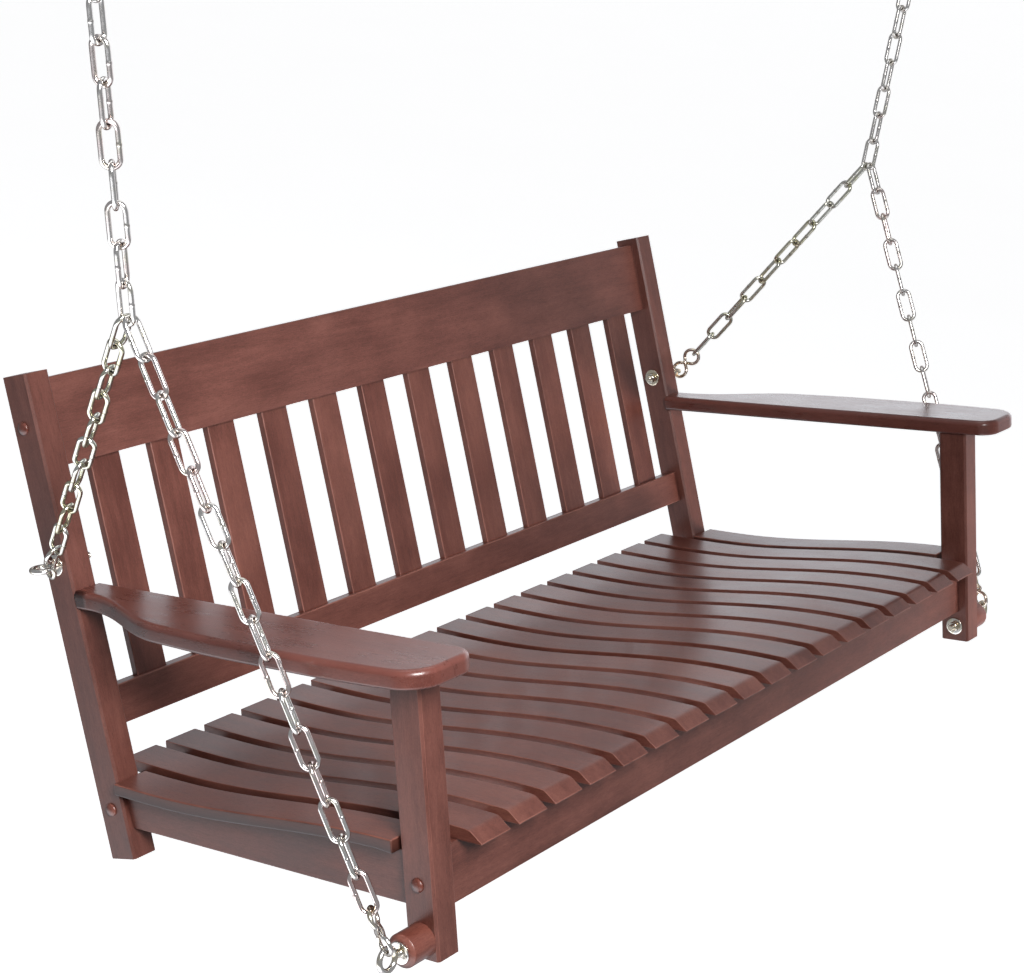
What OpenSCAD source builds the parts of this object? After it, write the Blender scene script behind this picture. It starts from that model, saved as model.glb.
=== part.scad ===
// Porch swing: slatted two-seat bench hung from two chain sets and a pair of screw hooks.
// Frame: origin midway between the two hook shanks on the ceiling plane, X along the bench,
// Y from the front edge towards the back, Z up. Millimetres. The bench hangs at rest.

/* [Whole swing] */
// Overall width over the posts
bench_w = 1200; // [900:1:1600]
// Recline of the hanging bench about the chain junctions, degrees
bench_tilt = 10.53; // [0:0.1:15]
// Node to build

/* [Posts] */
// Post width, across the bench
post_w = 33; // [25:1:60]
// Post depth, front to back
post_d = 40; // [30:1:70]
// Front post length, up to the underside of the armrest
front_post_h = 299; // [200:0.5:400]
// Back post length
back_post_l = 548; // [400:1:700]
// Rake of the back, degrees
back_rake = 9.9; // [0:0.1:20]
// Top front corner of the back post, front to back
back_top_y = 529.7; // [400:0.1:650]
// Top front corner of the back post, height
back_top_z = 556.7; // [400:0.1:700]
// Edge chamfer on posts
post_ch = 2.5; // [0:0.5:6]

/* [Back] */
// Top rail height
top_rail_h = 98; // [60:1:140]
// Drop of the top rail below the post tops
top_rail_drop = 9; // [0:1:40]
// Bottom rail height
low_rail_h = 44.5; // [30:0.5:80]
// Distance of the bottom rail below the post tops
low_rail_drop = 358; // [300:1:420]
// Thickness of both back rails
rail_t = 22; // [15:1:35]
// Setback of the rails behind the post fronts
rail_inset = 11; // [0:1:20]
// Number of back slats
back_slat_n = 12; // [6:1:20]
// Back slat width
back_slat_w = 44; // [20:1:70]
// Back slat thickness
back_slat_t = 10; // [6:1:18]
// Spacing of the back slats
back_slat_pitch = 91.2; // [60:0.1:120]
// Setback of the slats behind the post fronts
back_slat_inset = 18; // [0:0.5:30]
// Depth of the slat tongues in the rails
tongue = 10; // [4:1:20]

/* [Seat] */
// Number of full-length seat slats
seat_slat_n = 18; // [8:1:30]
// Seat slat width
seat_slat_w = 47; // [20:1:80]
// Seat slat spacing
seat_slat_pitch = 61.5; // [30:0.1:100]
// Seat slat thickness
seat_slat_t = 13.5; // [8:0.5:25]
// Front tip of the seat slats, ahead of the posts
seat_nose = 20; // [0:1:50]
// Depth of the sloping front end of the seat slats
nose_slope = 15; // [4:1:40]
// Rear tip of the seat slats
seat_rear = 496; // [400:1:560]
// Height of the seat crown
crown_z = 123.5; // [90:0.5:160]
// Height of the seat dip
dip_z = 105; // [80:0.5:150]
// Front-to-back place of the crown
crown_y = 60; // [20:1:120]
// Front-to-back place of the dip
dip_y = 375; // [250:1:450]
// Outer edge of the two short outer slats
outer_slat_x = 608; // [590:1:640]
// Thickness of the seat rails
seat_rail_t = 22; // [15:1:35]
// Underside of the side rails
side_rail_z = 50; // [30:1:80]
// Inset of the side rails from the post outer faces
side_rail_inset = 8; // [0:1:15]
// Underside of the front rail
front_rail_z = 44; // [20:1:80]
// Setback of the front rail
front_rail_y = 12; // [0:1:20]

/* [Armrests] */
// Armrest thickness
arm_t = 20; // [12:1:35]
// Inner edge of the armrests
arm_in = 558; // [500:1:566]
// Widest outer edge of the armrests
arm_out = 658; // [610:1:700]
// Front of the armrests, ahead of the posts
arm_nose = 43; // [10:1:80]
// Nose corner radius, outer
arm_r_out = 38; // [5:1:50]
// Nose corner radius, inner
arm_r_in = 24; // [5:1:50]

/* [Hardware] */
// Eye ring wire
eye_wire = 6; // [4:0.5:10]
// Eye ring mean radius
eye_r = 11.5; // [8:0.5:20]
// Eye bolt shank
shank_d = 8; // [5:0.5:12]
// Washer diameter
washer_d = 24; // [16:1:32]
// Washer thickness
washer_t = 2; // [1:0.5:3]
// Nut across flats
nut_af = 13; // [10:1:19]
// Nut height
nut_h = 6.5; // [4:0.5:10]
// Wood spacer length
spacer_l = 34; // [10:1:60]
// Wood spacer diameter
spacer_d = 36; // [20:1:50]
// Front eye bolt, front to back
front_eye_y = 19.5; // [10:0.5:30]
// Front eye bolt height
front_eye_z = 21; // [15:0.5:40]
// Rear eye bolt, distance below the post top
rear_eye_s = 211; // [150:1:300]
// Plug peg diameter
plug_d = 13; // [8:1:20]
// Plug cap diameter
plug_cap = 15; // [10:1:25]

/* [Chains] */
// Chain wire
wire = 5.2; // [3:0.1:8]
// Chain link inner width
link_in = 11.6; // [8:0.1:20]
// Spacing of the links
pitch = 38.1; // [25:0.1:50]
// Play between links
play = 0.25; // [0.1:0.05:1]
// Play where a chain meets a part that turns on it
pivot_play = 0.5; // [0.3:0.05:1]
// Links in each front chain
front_links = 16; // [6:2:30]
// Links in each rear chain
rear_links = 10; // [4:2:30]
// Links in each upper chain
upper_links = 9; // [3:2:25]
// Outward lean of the upper chains, degrees
chain_lean = 9.2; // [0:0.1:20]
// Chain junction, across
junction_x = 719.7; // [600:0.1:850]
// Chain junction, front to back in the bench
junction_y = 222.4; // [100:0.1:400]
// Chain junction height in the bench
junction_z = 651.8; // [400:0.1:900]
// Figure-eight connector wire
eight_wire = 5; // [3:0.5:8]
// Figure-eight loop mean radius
eight_r = 10.8; // [8:0.1:20]

/* [Ceiling hooks] */
// Hook wire
hook_wire = 6; // [4:0.5:10]
// Hook mean radius
hook_r = 13; // [8:0.5:25]
// Drop of the hook centre below the ceiling
hook_drop = 30; // [20:1:60]
// Screw length into the beam
screw_l = 48; // [20:1:90]

/* [Hidden] */
$fn = 48;

WOOD = [0.36, 0.19, 0.16];
WOOD2 = [0.42, 0.23, 0.19];
METAL = [0.78, 0.74, 0.62];

half = bench_w / 2;
inner = half - post_w;
ur = tan(back_rake);
arm_z = front_post_h;

// wire centre to wire centre of one link, and its bend radius
rm = (link_in + wire) / 2;
lk = pitch + play + wire;

// how the links settle: [link, degrees] of slow twist down each chain, and the two loop angles of each connector
left_front_twist = [[0, 0], [3, 30]];
right_front_twist = [[0, 0], [3, -28]];
left_rear_twist = [[0, 0], [5, 30], [9, 8]];
right_rear_twist = [[0, 0], [9, 75]];
left_upper_twist = [[0, 0], [1, -25], [3, -45], [4, -45], [5, -20], [8, 0]];
right_upper_twist = [[0, 0], [8, -6]];
left_front_eight = [30, 70];
right_front_eight = [-28, -70];
left_rear_eight = [8, 80];
right_rear_eight = [75, 95];

// pivot points in the hanging frame
up = [sin(chain_lean), 0, cos(chain_lean)];
hook_c = [0, 0, -hook_drop];
run_up = -rm + upper_links * pitch + wire + play - wire / 2 - hook_wire / 2 - pivot_play;
hang_z = -hook_drop - hook_r * cos(chain_lean);
pivot_x = junction_x;
pivot_z = hang_z - run_up * cos(chain_lean);
hang_x = junction_x + run_up * sin(chain_lean);
shank_x = hang_x + hook_r * sin(chain_lean);

// rear eye in bench axes, on the centre line of the back post
rear_eye_y = back_top_y + (post_d / 2) * cos(back_rake) - rear_eye_s * sin(back_rake);
rear_eye_z = back_top_z - (post_d / 2) * sin(back_rake) - rear_eye_s * cos(back_rake);
front_ring_x = half + spacer_l + washer_t + 2.5 + eye_wire / 2 + eye_r;
rear_ring_x = half + washer_t + 2.5 + eye_wire / 2 + eye_r;

// bench-frame chain ends: junction wires and eye contact wires
off = link_in / 2 - wire / 2 - 0.35;
side = wire / 2 + 0.15;
dropj = sqrt(off * off - side * side);
JF = [junction_x, junction_y - side, junction_z - dropj];
JR = [junction_x, junction_y + side, junction_z - dropj];
EF = [front_ring_x, front_eye_y, front_eye_z + eye_r];
ER = [rear_ring_x, rear_eye_y - eye_r, rear_eye_z];

function unit(v) = v / norm(v);
uf = unit(EF - JF);
urr = unit(ER - JR);
function eight_len(P, Q, n) = norm(Q - P) - (n * pitch + wire + play) + (wire + eight_wire) / 2 + play + (eight_wire + eye_wire) / 2 + play;
function eight_top(P, u, n) = P + u * (n * pitch + wire + play - (wire + eight_wire) / 2 - play);

// seat profile: top and underside height at a place y
function seat_top(y) =
  y < nose_slope - seat_nose ? seat_tip() + (seat_mid(nose_slope - seat_nose) - seat_tip()) * (y + seat_nose) / nose_slope :
  y < dip_y ? seat_mid(y) :
  dip_z + 3.5 * (1 - cos(90 * (y - dip_y) / (seat_rear - dip_y)));
function seat_mid(y) = (crown_z + dip_z) / 2 + (crown_z - dip_z) / 2 * cos(180 * (y - crown_y) / (dip_y - crown_y));
function seat_tip() = crown_z - seat_slat_t - 1.8;
// clearance of the seat supports under the slats
rest_gap = 0.12;
function blend(t) = t <= 0 ? 0 : t >= 1 ? 1 : t * t * (3 - 2 * t);
function seat_low(y) = y <= 36 ? seat_tip() :
  seat_tip() + (seat_top(y) - seat_slat_t - seat_tip()) * blend((y - 36) / 34);

// armrest outer edge at a place y
function arm_edge(y) = y > 300 ?
  half + 1 + (arm_out - 6 - half - 1) * (1 + cos(180 * (y - 300) / (arm_back_y() - 18 - 300))) / 2 * (y < arm_back_y() - 18 ? 1 : 0) :
  arm_out - 6 + 6 * sin(90 * (300 - y) / 110 > 90 ? 90 : 90 * (300 - y) / 110) - (y < 110 ? 8 * pow((110 - y) / 130, 2) : 0);
function post_front_y(z) = back_top_y - (back_top_z - z) * ur;
function arm_back_y() = post_front_y(arm_z + arm_t);
function arc_pts(c, r, a0, a1, n) = [for (i = [0:n]) c + r * [cos(a0 + (a1 - a0) * i / n), sin(a0 + (a1 - a0) * i / n)]];

module chamfer_rect(w, h, c) {
  polygon([[c, 0], [w - c, 0], [w, c], [w, h - c], [w - c, h], [c, h], [0, h - c], [0, c]]);
}

// bench axes to the hanging frame
module hung() {
  translate([0, 0, pivot_z]) rotate([-bench_tilt, 0, 0]) translate([0, -junction_y, -junction_z]) children();
}
// frame of the raked back: origin on the post top front edge
module raked() {
  translate([0, back_top_y, back_top_z]) rotate([-back_rake, 0, 0]) children();
}
// axis pointing outward (+X) starting at a point
module outward(p) { translate(p) rotate([0, 90, 0]) children(); }
module both() { children(); mirror([1, 0, 0]) children(); }

// z axis from P along u, x axis as near to +X as possible plus a roll
module along(P, u, roll = 0) {
  b = acos(u[2]);
  g = atan2(u[1], u[0]);
  translate(P) rotate([0, b, g]) rotate([0, 0, atan2(-sin(g), cos(b) * cos(g)) + roll]) children();
}

module link() {
  for (s = [-1, 1]) translate([s * rm, 0, rm]) cylinder(d = wire, h = lk - 2 * rm);
  translate([0, 0, lk - rm]) rotate([90, 0, 0]) rotate_extrude(angle = 180) translate([rm, 0]) circle(d = wire);
  translate([0, 0, rm]) rotate([90, 0, 0]) rotate([0, 0, 180]) rotate_extrude(angle = 180) translate([rm, 0]) circle(d = wire);
}
// each link a quarter turn on from the last, plus a slow twist given as [link, degrees] pairs
module chain(P, u, n, twist, first = 0) {
  for (i = [0:n - 1]) along(P + u * pitch * i, u, first + 90 * i + lookup(i, twist)) link();
}
// two loops on a short neck, each at its own angle, from its first to its last wire centre
module eight(l, turn0, turn1) {
  rotate([0, 0, turn0]) translate([0, 0, eight_r]) rotate([90, 0, 0]) rotate_extrude() translate([eight_r, 0]) circle(d = eight_wire);
  rotate([0, 0, turn1]) translate([0, 0, l - eight_r]) rotate([90, 0, 0]) rotate_extrude() translate([eight_r, 0]) circle(d = eight_wire);
  translate([0, 0, 2 * eight_r - 1]) cylinder(d = eight_wire * 1.5, h = l - 4 * eight_r + 2);
}
module front_eight(t) { along(eight_top(JF, uf, front_links), uf) eight(eight_len(JF, EF, front_links), t[0], t[1]); }
module rear_eight(t) { along(eight_top(JR, urr, rear_links), urr) eight(eight_len(JR, ER, rear_links), t[0], t[1]); }

// bolt line through a post into a rail end: bores, at y,z in bench axes
module bolt_bore(y, z) {
  outward([half - 13, y, z]) cylinder(d = plug_d + 0.2, h = 20);
  outward([inner - 62, y, z]) cylinder(d = 6.6, h = 90);
}
module plug_at(y, z) {
  outward([half - 6.5, y, z]) rotate_extrude() polygon([[0, 0], [plug_d / 2, 0], [plug_d / 2, 6.5],
    [plug_cap / 2, 6.5], [plug_cap / 2, 7.4], [plug_cap / 2 * 0.94, 8.3], [plug_cap / 2 * 0.8, 9.2],
    [plug_cap / 2 * 0.55, 9.9], [plug_cap / 2 * 0.28, 10.3], [0, 10.4]]);
}
module bolt_at(y, z) {
  outward([half - 12, y, z]) cylinder(d = 11, h = 4.5);
  outward([inner - 58, y, z]) cylinder(d = 6, h = 58 + post_w - 12);
}
plug_y = 20.5; plug_z = 78;
top_plug_s = top_rail_drop + top_rail_h / 2;
back_plug_y = back_top_y + (rail_inset + rail_t / 2) * cos(back_rake) - top_plug_s * sin(back_rake);
back_plug_z = back_top_z - (rail_inset + rail_t / 2) * sin(back_rake) - top_plug_s * cos(back_rake);
seat_plug_z = 70; seat_plug_y = post_front_y(seat_plug_z) + post_d / 2 / cos(back_rake);
module bolt_places() { for (p = [[plug_y, plug_z], [back_plug_y, back_plug_z], [seat_plug_y, seat_plug_z]]) { $y = p[0]; $z = p[1]; children(); } }

module front_post() {
  difference() {
    translate([inner, 0, 0]) linear_extrude(front_post_h) chamfer_rect(post_w, post_d, post_ch);
    bolt_bore(plug_y, plug_z);
    outward([inner - 1, front_eye_y, front_eye_z]) cylinder(d = shank_d + 0.4, h = post_w + 2);
  }
}
module back_post() {
  difference() {
    raked() translate([inner, 0, -back_post_l]) linear_extrude(back_post_l) chamfer_rect(post_w, post_d, post_ch);
    bolt_bore(back_plug_y, back_plug_z);
    bolt_bore(seat_plug_y, seat_plug_z);
    outward([inner - 1, rear_eye_y, rear_eye_z]) cylinder(d = shank_d + 0.4, h = post_w + 2);
    arm_screw_bore();
  }
}
arm_screw_z = arm_z + arm_t / 2;
arm_screw_x = half - post_w / 2;
module arm_screw_bore() {
  translate([arm_screw_x, post_front_y(arm_screw_z) - 40, arm_screw_z]) rotate([-90, 0, 0]) cylinder(d = 4.8, h = 100);
  translate([arm_screw_x, post_front_y(arm_screw_z) + 35, arm_screw_z]) rotate([-90, 0, 0]) cylinder(d = 10.4, h = 20);
}
module rail_bar(h) { translate([-inner, rail_inset, -h]) cube([2 * inner, rail_t, h]); }
module barrel_bore(y, z) { for (s = [-1, 1]) translate([s * (inner - 42), y - 7, z]) rotate([-90, 0, 0]) cylinder(d = 10.3, h = 40); }
module slat_bar() { translate([0, back_slat_inset, 0]) cube([back_slat_w, back_slat_t, low_rail_drop - top_rail_drop - top_rail_h + 2 * tongue]); }
module slat_places() {
  for (i = [0:back_slat_n - 1]) translate([(i - (back_slat_n - 1) / 2) * back_slat_pitch - back_slat_w / 2, 0, -low_rail_drop - tongue]) children();
}

module left_front_post() { color(WOOD) hung() mirror([1, 0, 0]) front_post(); }
module right_front_post() { color(WOOD) hung() front_post(); }
module left_back_post() { color(WOOD) hung() mirror([1, 0, 0]) back_post(); }
module right_back_post() { color(WOOD) hung() back_post(); }
module top_back_rail() {
  color(WOOD) hung() difference() {
    raked() translate([0, 0, -top_rail_drop]) rail_bar(top_rail_h);
    raked() slat_places() slat_bar();
    both() bolt_bore(back_plug_y, back_plug_z);
    barrel_bore(back_plug_y, back_plug_z);
  }
}
module bottom_back_rail() {
  color(WOOD) hung() raked() difference() {
    translate([0, 0, -low_rail_drop]) rail_bar(low_rail_h);
    slat_places() slat_bar();
  }
}
module back_slats() { color(WOOD2) hung() raked() slat_places() slat_bar(); }

module slat_side(y0, y1, n, extra = []) {
  pts_top = [for (i = [0:n]) let (y = y0 + (y1 - y0) * i / n) [y, seat_top(y)]];
  pts_low = [for (i = [n:-1:0]) let (y = y0 + (y1 - y0) * i / n) [y, seat_low(y)]];
  polygon(concat(pts_top, pts_low));
}
// a thin flat end, a straight slope eased into the top, then the curved length
module nose_side(n) {
  y0 = nose_slope - seat_nose;
  h = seat_top(y0) - seat_tip();
  pts_top = [for (i = [1:n]) let (y = y0 + 6 + (seat_rear - y0 - 6) * i / n) [y, seat_top(y)]];
  pts_low = [for (i = [n:-1:1]) let (y = 36 + (seat_rear - 36) * i / n) [y, seat_low(y)]];
  polygon(concat([[-seat_nose, seat_tip()], [-seat_nose, seat_tip() + 1.4]],
    [[y0 - 3.5, seat_tip() + 1.4 + (h - 1.4) * (nose_slope - 3.5) / nose_slope - 0.1], [y0 - 1.2, seat_tip() + h - 1.3], [y0 + 1.5, seat_top(y0 + 1.5) - 0.35], [y0 + 6, seat_top(y0 + 6)]],
    pts_top, pts_low, [[36, seat_tip()]]));
}
// side-view outline to a solid w wide starting at x
module sideways(x, w) { translate([x, 0, 0]) rotate([90, 0, 90]) linear_extrude(w) children(); }
module seat_slats() {
  color(WOOD2) hung() for (i = [0:seat_slat_n - 1])
    sideways((i - (seat_slat_n - 1) / 2) * seat_slat_pitch - seat_slat_w / 2, seat_slat_w) nose_side(42);
}
module outer_seat_slats() { color(WOOD2) hung() both() sideways(outer_slat_x - seat_slat_w, seat_slat_w) slat_side(post_d + 4, post_front_y(seat_low(446)) - 1, 36); }

module side_beam_outline(z0) {
  y0 = post_d; n = 36; y1 = post_front_y(z0);
  y2 = post_front_y(seat_low(446));
  polygon(concat([[y0, z0]], [for (i = [0:n]) let (y = y0 + (y2 - y0) * i / n) [y, seat_low(y) - rest_gap]], [[y1, z0]]));
}
module side_rail() { sideways(half - side_rail_inset - seat_rail_t, seat_rail_t) side_beam_outline(side_rail_z); }
module left_side_rail() { color(WOOD) hung() mirror([1, 0, 0]) side_rail(); }
module right_side_rail() { color(WOOD) hung() side_rail(); }
module front_rail() {
  color(WOOD) hung() difference() {
    translate([-inner, front_rail_y, front_rail_z]) cube([2 * inner, seat_rail_t, seat_tip() - front_rail_z]);
    both() bolt_bore(plug_y, plug_z);
    barrel_bore(plug_y, plug_z);
  }
}
rear_rail_y = seat_plug_y - seat_rail_t / 2;
rear_rail_top = seat_low(rear_rail_y + seat_rail_t / 2) - 0.6;
module rear_seat_rail() {
  color(WOOD) hung() difference() {
    translate([-inner, rear_rail_y, 42]) cube([2 * inner, seat_rail_t, rear_rail_top - 42]);
    both() bolt_bore(seat_plug_y, seat_plug_z);
    barrel_bore(seat_plug_y, seat_plug_z);
  }
}
module centre_support() {
  y0 = front_rail_y + seat_rail_t; y1 = rear_rail_y; n = 36;
  color(WOOD) hung() sideways(-11, 22)
    polygon(concat([[y0, side_rail_z]], [for (i = [0:n]) let (y = y0 + (y1 - y0) * i / n) [y, seat_low(y) - rest_gap]], [[y1, side_rail_z]]));
}

module arm_plan() {
  yb = arm_back_y();
  n = 48;
  co = [arm_edge(arm_r_out - arm_nose) - arm_r_out, arm_r_out - arm_nose];
  ci = [arm_in + arm_r_in, arm_r_in - arm_nose];
  polygon(concat(
    [[arm_in, yb + 30], [arm_in, yb]],
    arc_pts(ci, arm_r_in, 180, 270, 12),
    arc_pts(co, arm_r_out, 270, 360, 16),
    [for (i = [1:n]) let (y = co[1] + (yb - co[1]) * i / n) [max(arm_edge(y), half + 1), y]],
    [[half + 1, yb + 30]]));
}
module arm() {
  difference() {
    translate([0, 0, arm_z]) linear_extrude(arm_t) arm_plan();
    raked() translate([500, 0, -400]) cube([200, 120, 400]);
    translate([arm_screw_x, post_front_y(arm_screw_z) - 31, arm_screw_z]) rotate([-90, 0, 0]) cylinder(d = 4.8, h = 60);
  }
}
module left_armrest() { color(WOOD) hung() mirror([1, 0, 0]) arm(); }
module right_armrest() { color(WOOD) hung() arm(); }

module button_plugs() { color(WOOD2) hung() both() bolt_places() plug_at($y, $z); }
module frame_bolts() { color(METAL) hung() both() bolt_places() bolt_at($y, $z); }
module barrel_nuts() {
  color(METAL) hung() both() bolt_places() difference() {
    translate([inner - 42, $y - 6.5, $z]) rotate([-90, 0, 0]) cylinder(d = 10, h = 15);
    outward([inner - 60, $y, $z]) cylinder(d = 6.2, h = 40);
  }
}
module arm_screws() {
  color(METAL) hung() both() translate([arm_screw_x, post_front_y(arm_screw_z) - 30, arm_screw_z]) rotate([-90, 0, 0]) {
    cylinder(d = 4.4, h = 67);
    translate([0, 0, 65.5]) cylinder(d = 9, h = 3);
  }
}

module wood_spacers() {
  color(WOOD2) hung() both() outward([half, front_eye_y, front_eye_z])
    rotate_extrude() polygon([[(shank_d + 0.4) / 2, 0], [spacer_d / 2 - 0.8, 0], [spacer_d / 2, 0.8],
      [spacer_d / 2, spacer_l - 6], [spacer_d / 2 - 1.3, spacer_l - 2.9], [spacer_d / 2 - 3.6, spacer_l - 0.8], [spacer_d / 2 - 6, spacer_l], [(shank_d + 0.4) / 2, spacer_l]]);
}
module eye_bolt(c, flat) {
  translate(c) rotate([flat ? 0 : 90, 0, 0]) rotate_extrude() translate([eye_r, 0]) circle(d = eye_wire);
  outward([inner - washer_t - nut_h - 6, c[1], c[2]]) cylinder(d = shank_d, h = c[0] - eye_r - (inner - washer_t - nut_h - 6));
}
module front_eye_bolts() { color(METAL) hung() both() eye_bolt([front_ring_x, front_eye_y, front_eye_z], false); }
module rear_eye_bolts() { color(METAL) hung() both() eye_bolt([rear_ring_x, rear_eye_y, rear_eye_z], true); }
module washer() { difference() { cylinder(d = washer_d, h = washer_t); translate([0, 0, -1]) cylinder(d = shank_d + 0.4, h = washer_t + 2); } }
module eye_washers() {
  color(METAL) hung() both() {
    outward([half + spacer_l, front_eye_y, front_eye_z]) washer();
    outward([inner - washer_t, front_eye_y, front_eye_z]) washer();
    outward([half, rear_eye_y, rear_eye_z]) washer();
    outward([inner - washer_t, rear_eye_y, rear_eye_z]) washer();
  }
}
module nut() { difference() { cylinder(d = nut_af / cos(30), h = nut_h, $fn = 6); translate([0, 0, -1]) cylinder(d = shank_d + 0.2, h = nut_h + 2); } }
module eye_nuts() {
  color(METAL) hung() both() {
    outward([inner - washer_t - nut_h, front_eye_y, front_eye_z]) nut();
    outward([inner - washer_t - nut_h, rear_eye_y, rear_eye_z]) nut();
  }
}
module front_connectors() { color(METAL) hung() { mirror([1, 0, 0]) front_eight(left_front_eight); front_eight(right_front_eight); } }
module rear_connectors() { color(METAL) hung() { mirror([1, 0, 0]) rear_eight(left_rear_eight); rear_eight(right_rear_eight); } }
module left_front_chain() { color(METAL) hung() mirror([1, 0, 0]) chain(JF, uf, front_links, left_front_twist); }
module right_front_chain() { color(METAL) hung() chain(JF, uf, front_links, right_front_twist); }
module left_rear_chain() { color(METAL) hung() mirror([1, 0, 0]) chain(JR, urr, rear_links, left_rear_twist); }
module right_rear_chain() { color(METAL) hung() chain(JR, urr, rear_links, right_rear_twist); }
module upper_chain(twist) { chain([pivot_x, 0, pivot_z] - up * rm, up, upper_links, twist, 90); }
module left_upper_chain() { color(METAL) mirror([1, 0, 0]) upper_chain(left_upper_twist); }
module right_upper_chain() { color(METAL) upper_chain(right_upper_twist); }
module ceiling_hook() {
  translate([shank_x, 0, -hook_drop]) rotate([90, 0, 0]) rotate([0, 0, 90]) rotate_extrude(angle = 295) translate([hook_r, 0]) circle(d = hook_wire);
  translate([shank_x, 0, 0]) {
    translate([0, 0, -hook_drop + hook_r - 4]) cylinder(d = 8.6, h = 8);
    translate([0, 0, -hook_drop + hook_r + 4]) cylinder(d = 7.2, h = hook_drop - hook_r - 4 - 2.5);
    translate([0, 0, -2.5]) cylinder(d = 20, h = 2.5);
    cylinder(d = 8, h = screw_l - 10);
    translate([0, 0, screw_l - 10]) cylinder(d1 = 8, d2 = 2, h = 10);
  }
}
module left_ceiling_hook() { color(METAL) mirror([1, 0, 0]) ceiling_hook(); }
module right_ceiling_hook() { color(METAL) ceiling_hook(); }

left_front_post();
right_front_post();
left_back_post();
right_back_post();
top_back_rail();
bottom_back_rail();
back_slats();
seat_slats();
outer_seat_slats();
left_armrest();
right_armrest();
left_side_rail();
right_side_rail();
front_rail();
rear_seat_rail();
centre_support();
button_plugs();
frame_bolts();
barrel_nuts();
arm_screws();
wood_spacers();
front_eye_bolts();
rear_eye_bolts();
eye_washers();
eye_nuts();
front_connectors();
rear_connectors();
left_front_chain();
right_front_chain();
left_rear_chain();
right_rear_chain();
left_upper_chain();
right_upper_chain();
left_ceiling_hook();
right_ceiling_hook();
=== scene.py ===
import math

import bmesh
import bpy
import numpy as np
from mathutils import Matrix, Vector


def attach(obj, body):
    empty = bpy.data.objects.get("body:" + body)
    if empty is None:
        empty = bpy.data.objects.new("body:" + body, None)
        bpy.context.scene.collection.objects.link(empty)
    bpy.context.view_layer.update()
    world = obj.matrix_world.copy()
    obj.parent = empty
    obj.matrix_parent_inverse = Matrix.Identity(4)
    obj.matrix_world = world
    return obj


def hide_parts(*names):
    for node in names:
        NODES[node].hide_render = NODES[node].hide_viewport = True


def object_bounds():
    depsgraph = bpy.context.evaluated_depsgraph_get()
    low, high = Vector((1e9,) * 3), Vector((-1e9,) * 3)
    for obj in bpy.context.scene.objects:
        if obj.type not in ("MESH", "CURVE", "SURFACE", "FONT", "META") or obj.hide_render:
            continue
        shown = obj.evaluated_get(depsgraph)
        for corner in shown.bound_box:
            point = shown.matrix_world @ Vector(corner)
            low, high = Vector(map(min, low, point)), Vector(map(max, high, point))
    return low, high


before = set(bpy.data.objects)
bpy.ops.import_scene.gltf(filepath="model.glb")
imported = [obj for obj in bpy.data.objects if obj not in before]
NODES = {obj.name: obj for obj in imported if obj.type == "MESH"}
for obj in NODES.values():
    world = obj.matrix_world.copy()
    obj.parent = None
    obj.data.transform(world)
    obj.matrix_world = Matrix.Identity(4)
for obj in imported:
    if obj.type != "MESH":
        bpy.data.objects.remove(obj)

cad_box = [[float(c) for c in v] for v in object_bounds()]
scene = bpy.context.scene
rad, sin, cos = math.radians, math.sin, math.cos

# Dimensions repeated from the part's source: millimetres, bench axes unless said otherwise.
TILT, RAKE, LEAN = rad(10.53), rad(9.9), rad(9.2)
JX, JY, JZ = 719.7, 222.4, 651.8
HALF, POST_W, POST_D = 600.0, 33.0, 40.0
INNER = HALF - POST_W
BTY, BTZ = 529.7, 556.7
PITCH, WIRE, LIN, PLAY, PPLAY = 38.1, 5.2, 11.6, 0.25, 0.5
FRONT_N, REAR_N, UP_N = 16, 10, 9
EYE_W, EYE_R, SHANK = 6.0, 11.5, 8.0
WASH_D, WASH_T, NUT_AF, NUT_H = 24.0, 2.0, 13.0, 6.5
SPACER_L, SPACER_D = 34.0, 36.0
EIGHT_W, EIGHT_R = 5.0, 10.8
HOOK_W, HOOK_R, DROP, SCREW_L = 6.0, 13.0, 30.0, 48.0
RM, LK = (LIN + WIRE) / 2, PITCH + PLAY + WIRE
UP = np.array([sin(LEAN), 0, cos(LEAN)])
RUN = -RM + UP_N * PITCH + WIRE + PLAY - WIRE / 2 - HOOK_W / 2 - PPLAY
HANG_Z = -DROP - HOOK_R * cos(LEAN)
PIV_Z = HANG_Z - RUN * cos(LEAN)
HANG_X = JX + RUN * sin(LEAN)
SHX = HANG_X + HOOK_R * sin(LEAN)
FRONT_EYE = np.array([HALF + SPACER_L + WASH_T + 2.5 + EYE_W / 2 + EYE_R, 19.5, 21.0])
REAR_EYE = np.array([HALF + WASH_T + 2.5 + EYE_W / 2 + EYE_R,
                     BTY + 20 * cos(RAKE) - 211 * sin(RAKE), BTZ - 20 * sin(RAKE) - 211 * cos(RAKE)])
_side = WIRE / 2 + 0.15
_drop = math.sqrt((LIN / 2 - WIRE / 2 - 0.35) ** 2 - _side ** 2)
JF, JR = np.array([JX, JY - _side, JZ - _drop]), np.array([JX, JY + _side, JZ - _drop])
EF, ER = FRONT_EYE + [0, 0, EYE_R], REAR_EYE - [0, EYE_R, 0]
UF, UR = (EF - JF) / np.linalg.norm(EF - JF), (ER - JR) / np.linalg.norm(ER - JR)


def unit(v):
    v = np.asarray(v, float)
    return v / np.linalg.norm(v)


def hung(p):
    """Bench axes in millimetres to the row frame in metres."""
    q = np.asarray(p, float) - [0, JY, JZ]
    c, s = cos(TILT), sin(TILT)
    return np.stack([q[:, 0], c * q[:, 1] + s * q[:, 2], c * q[:, 2] - s * q[:, 1] + PIV_Z], 1) * 0.001


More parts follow.
